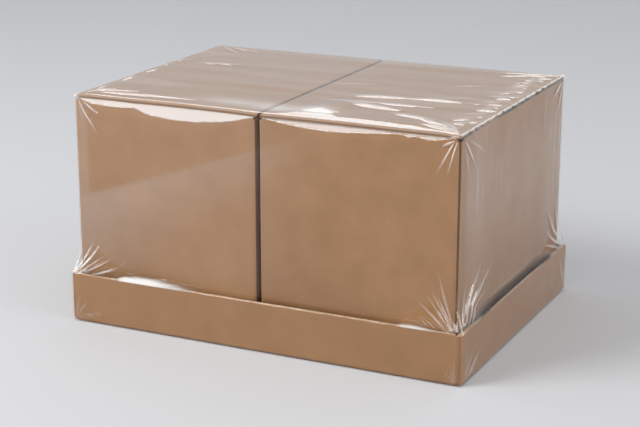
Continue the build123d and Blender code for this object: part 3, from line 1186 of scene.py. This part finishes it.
def leaning_carton(name, materials):
    """The carton with its front's upper edge leaning back: a copy of the solid, cut so that it can bend."""
    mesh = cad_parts[name].data.copy()
    mesh.materials.clear()
    low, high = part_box(name)
    heights = [TOP - depth for depth in CUT_DEPTHS]
    form = bmesh.new()
    form.from_mesh(mesh)
    bmesh.ops.remove_doubles(form, verts=form.verts, dist=CARTON_WELD)
    cuts = [((x, 0, 0), (1, 0, 0)) for x in np.linspace(low.x, high.x, CUT_COLUMNS)[1:-1]]
    cuts += [((0, 0, z), (0, 0, 1)) for z in np.linspace(*heights, CUT_ROWS)]
    cuts += [((0, low.y + y, 0), (0, 1, 0)) for y in (LEAN_FROM, LEAN_TO)]
    for place, normal in cuts:
        geometry = form.verts[:] + form.edges[:] + form.faces[:]
        bmesh.ops.bisect_plane(form, geom=geometry, plane_co=place, plane_no=normal)
    for face in form.faces:
        face.material_index = carton_slot(face)
    place = np.array([vertex.co for vertex in form.verts])
    share = 1 - smooth(low.y + LEAN_FROM, low.y + LEAN_TO, place[:, 1])
    shift = front_lean(lens_depth(place[:, 0]), place[:, 2]) * share
    for vertex, amount in zip(form.verts, shift):
        vertex.co.y += amount
    form.to_mesh(mesh)
    form.free()
    mesh.shade_smooth()
    mesh.set_sharp_from_angle(angle=SHARP_ANGLE)
    piece = add_piece(name + "_board", mesh, materials)
    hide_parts(name)


def dress_tray(board, cut_edge):
    """Materials of the tray: its liner, and its pale cut edge along the rim."""
    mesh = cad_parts["tray"].data
    mesh.materials.clear()
    mesh.materials.append(board)
    mesh.materials.append(cut_edge)
    for face in mesh.polygons:
        on_rim = face.normal.z > LEVEL and face.center.z > RIM - RIM_EDGE_DEPTH
        face.material_index = CUT_EDGE if on_rim else BOARD


def softbox(name, place, target, size, radiance, seen_by_matt):
    """A rectangular lamp aimed at a point."""
    lamp = bpy.data.lights.new(name, "AREA")
    lamp.shape = "RECTANGLE"
    lamp.size, lamp.size_y = size
    lamp.energy = radiance * size[0] * size[1] * math.pi
    item = add_object(name, lamp)
    item.location = place
    aim = np.array(place) - np.array(target)
    azimuth = math.atan2(aim[0], -aim[1])
    elevation = math.atan2(aim[2], math.hypot(aim[0], aim[1]))
    item.rotation_euler = (math.pi / 2 - elevation, 0, azimuth)
    item.visible_diffuse = seen_by_matt
    item.visible_camera = False


# Boards
tray_kraft = kraft_material("tray_kraft", light=(0.41, 0.216, 0.095), dark=(0.365, 0.187, 0.079))
tray_edge = cut_edge_material("tray_edge", light=(0.66, 0.47, 0.30), dark=(0.48, 0.31, 0.18), pitch=6.4 * MM)
carton_materials = [
    kraft_material("carton_kraft", light=(0.43, 0.229, 0.102), dark=(0.38, 0.196, 0.083)),
    # The cartons' cut edges sit under the lids; their very dark flutes are painted shade of the hollows and
    # of the slit under the lid's roll
    cut_edge_material("carton_edge", light=(0.42, 0.27, 0.15), dark=(0.12, 0.07, 0.04), pitch=7 * MM),
    # Dark kraft for right-turned folds and the gap between the cartons: painted shade
    kraft_material("carton_fold_painted_shade", light=(0.13, 0.062, 0.025), dark=(0.115, 0.053, 0.021)),
    # Cut edge with long near-black patches: painted shade of the gap beside the lid
    cut_edge_material("lid_edge_painted_shade", light=(0.40, 0.25, 0.14), dark=(0.02, 0.014, 0.01), pitch=24 * MM),
    # Darker kraft on the lid's roll: painted shade
    kraft_material("lid_roll_painted_shade", light=(0.24, 0.125, 0.056), dark=(0.21, 0.107, 0.046)),
]
dress_tray(tray_kraft, tray_edge)
leaning_carton("carton_left", carton_materials)
leaning_carton("carton_right", carton_materials)

# Film
film = add_piece("shrink_film_sheet", film_mesh(), [film_material()])
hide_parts("shrink_film")

# Studio floor
floor_corners = [(x * FLOOR_HALF, y * FLOOR_HALF, 0) for x, y in ((-1, -1), (1, -1), (1, 1), (-1, 1))]
floor_mesh = bpy.data.meshes.new("floor")
floor_mesh.from_pydata(floor_corners, [], [(0, 1, 2, 3)])
floor_mesh.materials.append(stage_material("floor", FLOOR_COLOUR))
floor = add_object("floor", floor_mesh)
floor.location.z = -FLOOR_DROP

# Light: the world fills, the first box is the key, and the gloss boxes give the film its shine
world = bpy.data.worlds.new("studio")
bpy.context.scene.world = world
world.use_nodes = True
world.node_tree.nodes["Background"].inputs["Color"].default_value = (*WORLD_COLOUR, 1)
world.node_tree.nodes["Background"].inputs["Strength"].default_value = WORLD_STRENGTH
for box_name, box_values in SOFTBOXES.items():
    softbox(box_name, *box_values)

# Camera
camera_data = bpy.data.cameras.new("camera")
camera_data.lens = CAMERA_LENS
camera_data.sensor_width = CAMERA_SENSOR
camera = add_object("camera", camera_data)
camera.location = CAMERA_PLACE
camera.rotation_euler = (math.radians(90 - CAMERA_TILT), 0, math.radians(CAMERA_TURN))
bpy.context.scene.camera = camera
bpy.context.scene.view_settings.view_transform = "Standard"
